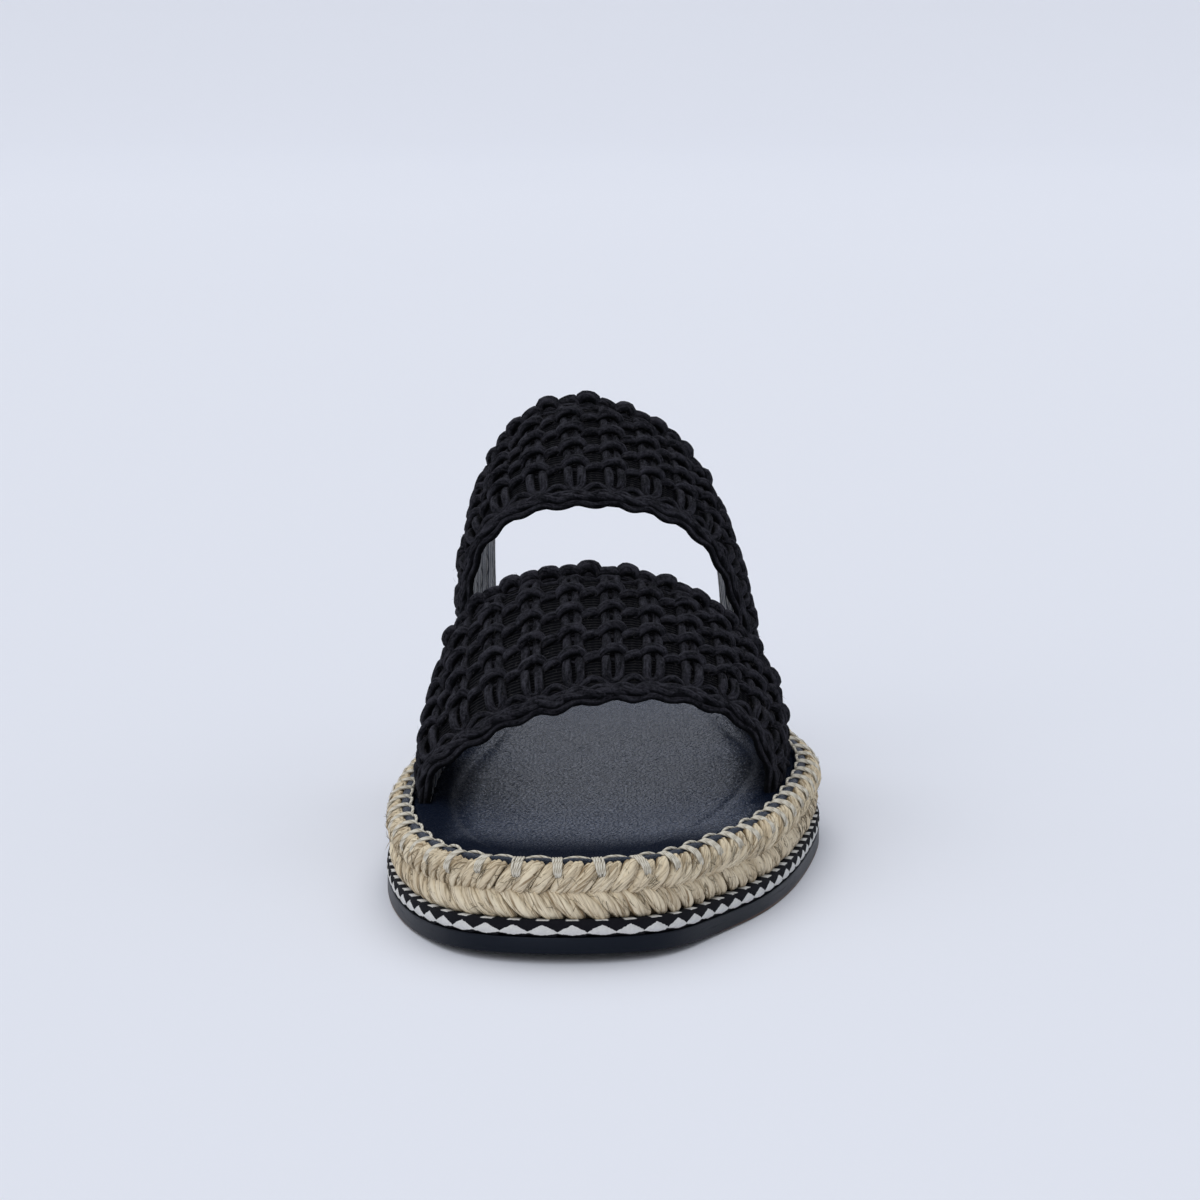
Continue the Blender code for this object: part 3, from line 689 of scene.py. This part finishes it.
# A stitch's leg over the binding and down the braid: distance round the sole, inset and height,
# in millimetres
LEG = (
    (0.0, 5.5, 18.6), (0.0, 5.15, 19.25), (0.0, 4.4, 19.55), (0.05, 3.4, 19.50), (0.1, 2.5, 19.25),
    (0.15, 1.5, 18.75), (0.2, 0.62, 18.0), (0.25, 0.18, 17.2), (0.3, 0.15, 16.6), (0.3, 0.9, 15.8),
)
LEG_BEND = 0.0185
legs, leg_up, arcs, arc_up = [], [], [], []
for number, start in enumerate(stitch_at):
    leg = spline(np.array(LEG) / 1000, 13)
    reach = thread_random.uniform(-0.0012, 0.0008)
    leg[:, 2] += reach * np.clip(LEG_BEND - leg[:, 2], 0, None) / 0.004
    lean = thread_random.normal(0.0001, 0.00035)
    t = np.linspace(0, 1, 13)
    for strand in (-1, -0.33, 0.33, 1):
        fan = strand * (0.00095 - 0.00055 * t**2) * thread_random.normal(1, 0.08)
        share = (start + leg[:, 0] + fan + lean * t) / perimeter
        skin = leg[:, 1] - 0.00005 * thread_random.normal(0, 1, 13)
        legs.append(round_sole(share, skin, leg[:, 2] + 0.00004 * strand))
        leg_up.append(outward(share) * 0.6 + (0, 0, 0.8))
    gap = (stitch_at[(number + 1) % STITCHES] - start) % perimeter
    t = np.linspace(0, 1, 21)
    hump = np.sin(math.pi * t)
    share = (start + gap * (0.10 + 0.80 * t)) / perimeter
    slack = thread_random.normal(1, 0.12)
    inset = 0.00500 + 0.00045 * hump * slack
    height = 0.01890 + 0.00080 * np.clip(hump, 0, 1) ** 0.7 * slack
    height[:2] -= (0.0008, 0.0002)
    height[-2:] -= (0.0002, 0.0008)
    arcs.append(round_sole(share, inset, height))
    arc_up.append(outward(share) + (0, 0, 0.5))

thread = Finish("cream_thread", Roughness=0.7, Specular_IOR_Level=0.25)
turn, along = thread.along_cord()
ply = thread.math("SINE", (turn * 2.0 + along * 520.0) * math.tau)
lint = thread.noise(thread.place, 1800.0, 3.0)
cream = lint.tint((0.52, 0.48, 0.40), (0.80, 0.77, 0.69))
cream = ply.between(-1.0, -0.2).tint((0.36, 0.32, 0.25), cream)
thread_material = thread.wear(cream, None, ply * 0.3 + lint * 0.5, 0.00010)
made = join(
    lay_cords(np.array(legs), np.array(leg_up), LEG_THREAD, 6),
    lay_cords(np.array(arcs), np.array(arc_up), ARC_THREAD, 7),
)
put_on("blanket_stitch_thread", made, thread_material, "")

# Straps ----------------------------------------------------------------------------------------
# Each strap is one wall woven from black cotton cord: a ribbed ground, a fat cord that runs up
# and down the band in pairs, twined rows over it, a braided front edge and a looped back edge.
# Its ends are tucked down between the insole and the binding.

FOOT, PRESSED_BELOW = 0.0143, 0.0236
BAND_CROWN, BAND_WIDTH = 0.0012, 0.050
COLUMN_PITCH, ROW_PITCH, FIRST_ROW, WEFT_PITCH = 0.0087, 0.0086, 0.0141, 0.00105
ROWS = [FIRST_ROW + row * ROW_PITCH for row in range(4)]
GROUND_EDGES, GROUND_STEPS, GROUND_COURSES = (0.0006, 0.0498), 130, 144
CORD_RINGS = 330

# Each strap's front and back edge: feet and middle as shares of LENGTH, the rise of its arch, where
# its columns start, and the arch, from side -1 at the medial foot to 1 at the lateral foot, with
# heights as shares of the rise.
FRONT_STRAP = (
    ((0.264, 0.276, 0.315), 0.0276, 0.095, (
        (-1.000, 0.00), (-1.020, 0.20), (-1.010, 0.37), (-0.885, 0.54), (-0.600, 0.77), (-0.171, 0.95),
        (0.227, 1.00), (0.605, 0.92), (0.875, 0.73), (1.000, 0.48), (1.035, 0.23), (1.000, 0.00),
    )),
    ((0.459, 0.451, 0.498), 0.0484, -0.045, (
        (-1.000, 0.00), (-1.000, 0.20), (-0.990, 0.40), (-0.955, 0.63), (-0.809, 0.835), (-0.531, 0.957),
        (-0.133, 1.00), (0.194, 0.955), (0.490, 0.848), (0.735, 0.675), (0.897, 0.480), (0.976, 0.281),
        (1.000, 0.00),
    )),
)
REAR_STRAP = (
    ((0.523, 0.525, 0.563), 0.0624, 0.0, (
        (-1.000, 0.00), (-0.995, 0.11), (-1.000, 0.26), (-0.987, 0.50), (-0.960, 0.70), (-0.900, 0.82),
        (-0.775, 0.91), (-0.585, 0.97), (-0.254, 1.00), (0.055, 0.99), (0.305, 0.953), (0.488, 0.897),
        (0.662, 0.797), (0.782, 0.655), (0.870, 0.486), (0.945, 0.277), (1.000, 0.00),
    )),
    ((0.715, 0.705, 0.742), 0.0806, -0.07, (
        (-1.000, 0.00), (-0.995, 0.09), (-1.020, 0.27), (-1.050, 0.525), (-1.042, 0.68), (-1.003, 0.781),
        (-0.915, 0.851), (-0.765, 0.927), (-0.520, 0.985), (-0.231, 1.00), (0.070, 0.967), (0.378, 0.912),
        (0.605, 0.825), (0.785, 0.717), (0.905, 0.589), (0.987, 0.398), (1.003, 0.207), (1.000, 0.09),
        (1.000, 0.00),
    )),
)


def side_at(y, side, inset):
    """Where the outline, moved in by an inset, crosses a distance along the sole on one side."""
    curve = outline_curve + outline_inward * inset
    near = curve[np.sign(curve[:, 0]) == side]
    near = near[np.argsort(near[:, 1])]
    return np.interp(y, near[:, 1], near[:, 0])


class Band:
    """A strap's inner face. Distances run along it from a line near its middle, and across it from
    its front edge."""

    def __init__(self, name, strap, seed):
        self.name, self.seed, self.random = name, seed, np.random.default_rng(seed)
        self.edges = []
        for shares, rise, zero, arch in strap:
            stations = np.array(shares) * LENGTH - LENGTH / 2
            medial = side_at(stations[0], -1, STRAP_SEAT)
            lateral = side_at(stations[2], 1, STRAP_SEAT)
            side, height = np.array(arch).T
            middle, half = (medial + lateral) / 2, (lateral - medial) / 2
            tilt = (stations[2] - stations[0]) / 2
            bow = (stations[0] + stations[2]) / 2 - stations[1]
            x, y = middle + half * side, stations[1] + tilt * side + bow * side**2
            curve = spline(np.stack([x, y, INSOLE_BOTTOM + rise * height], axis=1), 400)
            length = np.append(0, np.cumsum(np.linalg.norm(np.diff(curve, axis=0), axis=1)))
            high = curve[:, 2] > DECK + 0.7 * rise
            length -= np.interp(middle + half * zero, curve[high, 0], length[high])
            self.edges.append((curve, length))
        self.start = min(length[0] for _, length in self.edges)
        self.end = max(length[-1] for _, length in self.edges)

    def edge_point(self, edge, along):
        """A point of one edge, straight down past its feet."""
        curve, length = self.edges[edge]
        point = np.stack([np.interp(along, length, curve[:, k]) for k in range(3)], axis=-1)
        point[..., 2] -= np.clip(length[0] - along, 0, None) + np.clip(along - length[-1], 0, None)
        return point

    def inner(self, along, share):
        """A point of the inner face, at a share of the way across."""
        share = np.asarray(share)[..., None]
        return (1 - share) * self.edge_point(0, along) + share * self.edge_point(1, along)

    def lay(self, along, across, out):
        """Points at a height above the inner face, and the normals there. Near the feet the weave
        is pressed flatter, and nothing goes below FOOT."""
        along, across, out = np.broadcast_arrays(along, across, out)
        share = across / BAND_WIDTH
        run = self.inner(along + 0.0012, share) - self.inner(along - 0.0012, share)
        rise = self.inner(along, share + 0.02) - self.inner(along, share - 0.02)
        normal = np.cross(run, rise)
        normal /= np.linalg.norm(normal, axis=-1)[..., None]
        inner = self.inner(along, share)
        loose = np.clip(1 - (PRESSED_BELOW - inner[..., 2]) / 0.0040, 0, 1)
        out = 0.0011 + (out - 0.0011) * (0.85 + 0.15 * loose)
        crown = BAND_CROWN * 4 * share * (1 - share)
        point = inner + normal * (crown + out)[..., None]
        point[..., 2] = np.maximum(point[..., 2], FOOT)
        return point, normal

    def feet(self, across):
        """Where the inner face passes the seat's height, at each end."""
        along = np.linspace(self.start - 0.002, self.end + 0.002, 1200)
        ends = []
        for place in np.atleast_1d(across):
            height = self.inner(along, np.full(len(along), place / BAND_WIDTH))[:, 2]
            above = along[height > FOOT]
            ends.append((above[0], above[-1]))
        return np.array(ends).T

    def course(self, across):
        """Places along the band from foot to foot, and the columns they pass as an angle."""
        low, high = (float(end[0]) for end in self.feet(across))
        along = np.linspace(low - 0.001, high + 0.001, CORD_RINGS)
        return along, math.tau * along / COLUMN_PITCH

    def drift(self, along, across, size):
        """Slow unevenness of the hand weaving."""
        wave = np.sin(along * 331 + across * 97 + self.seed)
        wave = wave + 0.6 * np.sin(along * 613 - across * 211 + 2 * self.seed)
        return size * wave / 1.6


def cord_finish(name, strands, lay):
    """Black cotton cord. strands and lay say how many yarns show round it and how they wind."""
    cord = Finish(
        name, Roughness=0.9, Specular_IOR_Level=0.05,
        Sheen_Weight=0.02, Sheen_Roughness=0.4, Sheen_Tint=(0.8, 0.88, 1.0, 1),
    )
    turn, along = cord.along_cord()
    winding = cord.math("SINE", (turn * float(strands) + along * lay) * math.tau)
    around = turn * 9.0 + along * (lay * 1.2)
    where = cord.node("CombineXYZ", {0: around, 1: along * 260.0, 2: cord.attribute("tone") * 5.0})
    yarn = cord.noise(where, 1.0, 5.0, 0.68)
    lint = cord.noise(cord.place, 1300.0, 4.0, 0.72)
    dust = lint.between(0.60, 0.78)
    # Painted light: each cord is tinted darker as shade on its sides and underside, and its grey lint
    # specks, which are real lint, show only on the outward side, as a painted highlight.
    lit_side = cord.math("SINE", turn * math.tau).between(-0.25, 0.80)
    # The mottle is the yarn's own uneven tone, and its bright bluish end also stands in for the cord's
    # sheen, as a painted highlight.
    mottle = (yarn * 2.1 + lint * 1.3 - 1.28 + cord.attribute("tone") * 0.1).between(0.0, 1.0)
    base = mottle.tint((0.0008, 0.0010, 0.0026), (0.0660, 0.0650, 0.0840))
    painted_shade = lit_side.tint((0.0007, 0.0009, 0.0022), base)
    colour = (dust * lit_side * 0.35).tint(painted_shade, (0.105, 0.100, 0.108))
    relief = winding * 0.4 + yarn * 1.6 + lint * 1.2
    return cord.wear(colour, None, relief, 0.00110)


def ground_finish():
    """The ground's fine weft yarns, which run along the strap."""
    ground = Finish(
        "black_ground_weave", Roughness=0.9, Specular_IOR_Level=0.08,
        Sheen_Weight=0.03, Sheen_Roughness=0.4,
    )
    along, across, _ = ground.split(ground.node("UVMap", uv_map="weave"))
    ribs = ground.math("SINE", across * (math.tau / WEFT_PITCH))
    twist = ground.math("SINE", (along / 0.0016 + across / WEFT_PITCH) * math.tau)
    lint = ground.noise(ground.place, 2000.0, 4.0, 0.65)
    colour = (ribs * 0.25 + lint * 0.7).tint((0.0010, 0.0012, 0.0026), (0.0110, 0.0110, 0.0150))
    return ground.wear(colour, None, ribs * 0.5 + twist * 0.2 + lint * 0.5, 0.00028)


def lining_finish():
    """The back of the weave: cotton pressed flat, a little shiny, with a groove behind each row."""
    back = Finish(
        "black_strap_back", Roughness=0.42, Specular_IOR_Level=0.75,
        Sheen_Weight=0.35, Sheen_Roughness=0.3,
    )
    along, across, _ = back.split(back.node("UVMap", uv_map="weave"))
    ribs = across * (math.tau / (2 * WEFT_PITCH)) + back.math("SINE", along * 720.0) * 0.8
    ribs = back.math("SINE", ribs)
    lint = back.noise(back.place, 1500.0, 3.0, 0.6)
    wobble = back.math("SINE", along * 722.0) * 0.7
    row = (across - FIRST_ROW) * (math.tau / ROW_PITCH) + wobble
    row = back.math("COSINE", row).between(0.35, 0.9)
    # Painted light: the bluish grey is partly the dark cotton's own tone and partly painted sheen, and the
    # groove behind each row is painted near black as shade.
    cotton_and_painted_sheen = (ribs * 0.3 + lint * 0.7).tint((0.007, 0.011, 0.022), (0.048, 0.064, 0.110))
    colour = row.tint(cotton_and_painted_sheen, (0.0020, 0.0028, 0.0060))
    return back.wear(colour, None, ribs * 0.4 + lint * 0.4 - row * 1.2, 0.00040)


# The fat cord's way round one column, from the gap before it to the gap after: along, across and
# height above the strap's inner face, in millimetres. The other half mirrors it.
HALF_COLUMN = (
    (-4.35, 49.3, 1.2), (-3.30, 49.2, 1.2), (-2.30, 48.6, 1.3), (-1.55, 47.5, 1.4), (-1.32, 46.0, 1.70),
    (-1.28, 44.0, 1.75), (-1.28, 42.0, 1.60), (-1.28, 39.9, 1.3), (-1.28, 37.8, 1.60), (-1.28, 35.6, 1.75),
    (-1.28, 33.4, 1.60), (-1.28, 31.3, 1.3), (-1.28, 29.2, 1.60), (-1.28, 27.0, 1.75), (-1.28, 24.8, 1.60),
    (-1.28, 22.7, 1.3), (-1.28, 20.6, 1.65), (-1.28, 18.4, 1.80), (-1.30, 16.2, 1.65), (-1.34, 14.1, 1.4),
    (-1.42, 12.1, 2.15), (-1.46, 9.4, 2.55), (-1.46, 7.2, 2.40), (-1.30, 5.9, 1.5), (-0.70, 5.3, 0.9),
)
COLUMN_FRONT = (0.0, 5.2, 0.8)


def ease(value, start, steepness):
    """0 well below start and 1 well above it."""
    return 1 / (1 + np.exp((start - value) * steepness))


def weave_ground(band):
    """A sheet with one rib to each weft yarn, and its smooth back with a groove behind each row."""
    made = bmesh.new()
    bmesh.ops.create_grid(made, x_segments=GROUND_STEPS, y_segments=GROUND_COURSES, size=1)
    spread = (np.array([vert.co[:2] for vert in made.verts]) + 1) / 2
    front, back = GROUND_EDGES
    across = front + spread[:, 1] * (back - front)
    courses = np.linspace(front, back, 40)
    low, high = (np.interp(across, courses, ends) for ends in band.feet(courses))
    along = low + spread[:, 0] * (high - low)
    gap = 0.5 - 0.5 * np.cos(math.tau * along / COLUMN_PITCH)
    rib = np.cos(math.tau * across / WEFT_PITCH)
    row = sum(np.exp(-(((across - at) / 0.0016) ** 2)) for at in ROWS)
    outer = 0.0013 + 0.00016 * rib + 0.00025 * gap + band.drift(along, across, 0.00012)
    outer, _ = band.lay(along, across, outer)
    inner, _ = band.lay(along, across, 0.00045 * row - 0.0004 + 0.00006 * rib)
    uv = made.loops.layers.uv.new("weave")
    made.verts.index_update()
    for face in made.faces:
        for loop in face.loops:
            loop[uv].uv = (along[loop.vert.index], across[loop.vert.index])
    move_to(made, outer)
    number = made.verts.layers.int.new("number")
    for place, vert in enumerate(made.verts):
        vert[number] = place
    for part in bmesh.ops.extrude_face_region(made, geom=made.faces[:])["geom"]:
        if isinstance(part, bmesh.types.BMVert):
            part.co = inner[part[number]]
        elif isinstance(part, bmesh.types.BMFace):
            part.material_index = 1
    piece = put_on(f"{band.name}_ground_weave", made, ground_material, "strap_cord", band.name)
    piece.data.materials.append(lining_material)


def weave_columns(band):
    """The fat cord, up and down the band in pairs."""
    half = np.array(HALF_COLUMN)
    column = spline(np.vstack([half, [COLUMN_FRONT], (half * (-1, 1, 1))[::-1]]) / 1000, 116)[:-1]
    start, end = math.floor(band.start / COLUMN_PITCH), math.ceil(band.end / COLUMN_PITCH)
    routes = []
    for number in range(start, end + 1):
        route = column + (number * COLUMN_PITCH, 0, 0)
        route[:, 0] += band.random.normal(0, 0.00012)
        route[:, 0] += band.drift(number * COLUMN_PITCH, route[:, 1], 0.00022)
        route[:, 2] += band.random.normal(0, 0.00005)
        routes.append(route)
    along, across, out = np.vstack(routes).T[:, None]
    from_row = np.min([np.abs(across - at) for at in ROWS], axis=0)
    swell = 0.00098 + 0.00015 * np.clip(from_row / 0.0030, 0, 1)
    made = lay_cords(*band.lay(along, across, out), swell, 9, flat=0.95)
    put_on(f"{band.name}_column_cords", made, column_material, "strap_cord")


def weave_rows(band):
    """Twined rows: one strand shows over each column, the other in each gap."""
    rows, normals, widths, tones = [], [], [], []
    for at in ROWS:
        along, turn = band.course(at)
        over, sway = np.cos(turn), np.sin(turn)
        jitter = band.drift(along, at, 0.00022)
        hump, lump = ease(over, -0.36, 5.0), ease(-over, 0.42, 6.5)
        lift = band.drift(along + 0.003, at, 0.00012)
        for across, out, width in (
            (at + 0.00090 * over + 0.00030 * sway, 0.0011 + 0.0022 * hump, 0.0008 + 0.00034 * hump),
            (at - 0.00085 - 0.00050 * sway, 0.0010 + 0.0014 * lump, 0.0008 + 0.00038 * lump),
        ):
            row, normal = band.lay(along, across + jitter, out + lift)
            rows.append(row)
            normals.append(normal)
            widths.append(width)
            tones.append(band.random.uniform(0.3, 0.9))
    made = lay_cords(np.array(rows), np.array(normals), np.array(widths), 9, tone=tones)
    put_on(f"{band.name}_twined_rows", made, row_material, "strap_cord")


def weave_edges(band):
    """Front edge: a flat braid of three cords, arches over it in the gaps and a lip below it. Back
    edge: strands that bulge over the columns and over the gaps, a row before them and a lip."""
    along, turn = band.course(0.002)
    over, laid = np.cos(turn), []
    for number in range(3):
        phase = turn / 1.8 + number * math.tau / 3 + 0.5 * np.sin(along * 171 + number)
        across = 0.0022 + 0.00100 * np.sin(phase) + 0.00035 * over
        laid.append((across, 0.0013 + 0.00030 * np.sin(2 * phase), 0.00096))
    laid.append((0.0048 - 0.00085 * over, 0.0014 - 0.0006 * over, 0.00080))
    laid.append((0.0005 + 0.00035 * over, 0.0002 + 0.0003 * over, 0.00085))
    edges = [
        (*band.lay(along, across + band.drift(along, across, 0.00034), out), width)
        for across, out, width in laid
    ]
    along, turn = band.course(0.048)
    over = np.cos(turn)
    for across, out, width in (
        (
            0.0483 + 0.0004 * over,
            0.0012 + 0.0016 * ease(over, 0.25, 7), 0.0009 + 0.00045 * ease(over, 0.1, 7),
        ),
        (
            0.0485 - 0.0005 * over,
            0.0012 + 0.0022 * ease(-over, 0.3, 7), 0.0009 + 0.00058 * ease(-over, 0.1, 7),
        ),
        (0.0462 + 0.0002 * over, 0.0010 + 0.0011 * ease(over, 0.1, 6), 0.00085),
        (0.0496, 0.0009, 0.00090),
    ):
        uneven = band.drift(1.7 * along, 3.1 * across, 0.00035)
        edges.append((*band.lay(along, across + uneven, out + 0.8 * uneven), width))
    points, normals, widths = zip(*edges)
    widths = np.array([np.broadcast_to(width, CORD_RINGS) for width in widths])
    made = lay_cords(np.array(points), np.array(normals), widths, 8)
    put_on(f"{band.name}_edge_cords", made, row_material, "strap_cord")


def scatter_lint(band, count=1800, rings=4):
    """Short cotton hairs that stand off the cords."""
    random = band.random
    across = random.uniform(0.0004, 0.0505, count)
    courses = np.linspace(0, BAND_WIDTH, 20)
    low, high = (np.interp(across, courses, ends) for ends in band.feet(courses))
    along = low + random.uniform(0.03, 0.97, count) * (high - low)
    heading = random.uniform(0, math.tau, count)
    length = random.gamma(3.0, 0.00027, count)
    t = np.linspace(0, 1, rings)
    bend = heading[:, None] + random.normal(0, 0.9, (count, 1)) * t
    run = t * length[:, None]
    out = random.uniform(0.0024, 0.0040, (count, 1)) + run * random.uniform(0.0, 0.8, (count, 1))
    across = across[:, None] + run * np.sin(bend)
    points, normals = band.lay(along[:, None] + run * np.cos(bend), across, out)
    thin = np.array([1.0, 0.9, 0.7, 0.4]) * random.uniform(0.000022, 0.00004, (count, 1))
    tones = random.uniform(0, 1, count)
    made = lay_cords(points, np.roll(normals, 1, axis=-1), thin, 3, tone=tones)
    put_on(f"{band.name}_lint", made, lint_material, "strap_cord")


ground_material, lining_material = ground_finish(), lining_finish()
column_material = cord_finish("black_column_cord", 4, 95.0)
row_material = cord_finish("black_row_cord", 2, 170.0)
lint = Finish("cotton_lint", Roughness=0.9, Specular_IOR_Level=0.1)
mottle = lint.noise(lint.place, 400.0)
lint_material = lint.wear(mottle.tint((0.030, 0.029, 0.032), (0.110, 0.104, 0.104)))
for band in (Band("front_strap", FRONT_STRAP, 3), Band("rear_strap", REAR_STRAP, 8)):
    weave_ground(band)
    weave_columns(band)
    weave_rows(band)
    weave_edges(band)
    scatter_lint(band)

# Floor, light and camera -----------------------------------------------------------------------
# A seamless pale sweep that rises behind the sandal, under a pale sky. Two broad suns light it
# softly, one from overhead and one from in front.

SWEEP_WIDTH, SWEEP_LENGTH, SWEEP_FRONT = 12.0, 9.0, -3.0
BEND_START, BEND_RADIUS = 3.5, 1.6

made = bmesh.new()
bmesh.ops.create_grid(made, x_segments=8, y_segments=60, size=1)
for vert in made.verts:
    reach = (vert.co.y + 1) / 2 * SWEEP_LENGTH + SWEEP_FRONT
    beyond = max(reach - BEND_START, 0)
    turn = min(beyond / BEND_RADIUS, math.pi / 2)
    up = BEND_RADIUS * (1 - math.cos(turn)) + max(beyond - BEND_RADIUS * math.pi / 2, 0)
    back = min(reach, BEND_START) + BEND_RADIUS * math.sin(turn)
    vert.co = (vert.co.x * SWEEP_WIDTH / 2, back, up)
data = bpy.data.meshes.new("studio_sweep")
made.to_mesh(data)
made.free()
data.shade_smooth()
sweep = bpy.data.objects.new("studio_sweep", data)
bpy.context.scene.collection.objects.link(sweep)
paper = Finish("pale_paper", Roughness=0.95, Specular_IOR_Level=0.1)
tone = paper.noise(paper.place, 1.5, 2.0)
data.materials.append(paper.wear(tone.tint((0.785, 0.806, 0.884), (0.795, 0.816, 0.892))))

world = bpy.data.worlds.new("studio")
bpy.context.scene.world = world
world.use_nodes = True
sky = world.node_tree.nodes["Background"].inputs
sky["Color"].default_value, sky["Strength"].default_value = (0.92, 0.955, 1.0, 1), 0.45


def soft_sun(name, tilt, strength, spread, colour):
    """A broad even light from far away, tilted about X and then Z in degrees."""
    light = bpy.data.lights.new(name, "SUN")
    light.energy, light.angle, light.color = strength, math.radians(spread), colour
    lamp = bpy.data.objects.new(name, light)
    lamp.rotation_euler = (math.radians(tilt[0]), 0, math.radians(tilt[1]))
    bpy.context.scene.collection.objects.link(lamp)


soft_sun("overhead_sky", (-24, 12), 1.32, 75, (0.98, 0.99, 1.0))
soft_sun("front_fill", (62, -20), 0.85, 60, (1.0, 0.99, 0.98))

camera_data = bpy.data.cameras.new("camera")
camera_data.sensor_width, camera_data.lens = 36.0, 114.0
camera_data.clip_start, camera_data.clip_end = 0.01, 50.0
camera = bpy.data.objects.new("camera", camera_data)
camera.location = (-0.002, -0.8849, 0.201)
camera.rotation_euler = (math.pi / 2 - 0.164, 0, 0)
bpy.context.scene.collection.objects.link(camera)
bpy.context.scene.camera = camera
bpy.context.scene.view_settings.view_transform = "Standard"
